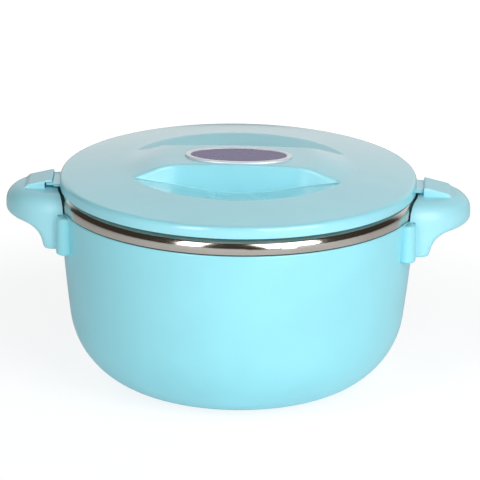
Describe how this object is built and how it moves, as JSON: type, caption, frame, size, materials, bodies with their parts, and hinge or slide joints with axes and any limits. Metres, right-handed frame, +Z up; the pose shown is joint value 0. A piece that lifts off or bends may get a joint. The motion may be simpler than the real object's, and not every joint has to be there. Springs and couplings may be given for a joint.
{
  "type": "insulated casserole",
  "caption": "Round insulated casserole with a steel inner pot, plastic shell, side handles and a twist-lock lid with finger scoops and an oval badge, for keeping food warm.",
  "frame": {"origin": "middle of the casserole on the table it stands on", "axes": "+X through the right handle, -Y out of the front, +Z up"},
  "size_m": [0.312, 0.241, 0.1591],
  "materials": {
    "shell_plastic": "glossy aqua polypropylene",
    "handle_plastic": "glossy aqua polypropylene",
    "lid_plastic": "glossy aqua polypropylene",
    "pot_steel": "polished stainless steel",
    "liner_plastic": "white polypropylene",
    "seal_rubber": "pale silicone",
    "foam": "pale polyurethane foam",
    "plug_plastic": "white polypropylene",
    "screw_steel": "zinc-plated",
    "badge_silver": "silvery",
    "badge_purple": "glossy purple"
  },
  "bodies": {
    "pot": {"outer_shell": "shell_plastic", "inner_pot": "pot_steel", "body_foam": "foam", "base_plug": "plug_plastic", "right_handle": "handle_plastic", "left_handle": "handle_plastic", "right_handle_screws": "screw_steel", "left_handle_screws": "screw_steel"},
    "seal": {"lid_seal": "seal_rubber"},
    "lid": {"lid_cover": "lid_plastic", "lid_liner": "liner_plastic", "lid_foam": "foam", "lid_plug": "plug_plastic", "badge_rim": "badge_silver", "badge_plate": "badge_purple"}
  },
  "joints": [
    {"name": "lid_lift", "type": "slide", "parent": "pot", "child": "seal", "axis": [0, 0, 1], "range_m": [0, 0.036]},
    {"name": "lid_turn", "type": "hinge", "parent": "seal", "child": "lid", "pos_m": [0, 0, 0.137], "axis": [0, 0, 1], "range_deg": [0, 180]}
  ],
  "couplings": [
    {"joint": "lid_lift", "follows": "lid_turn", "m_per_rad": 0.011459}
  ]
}
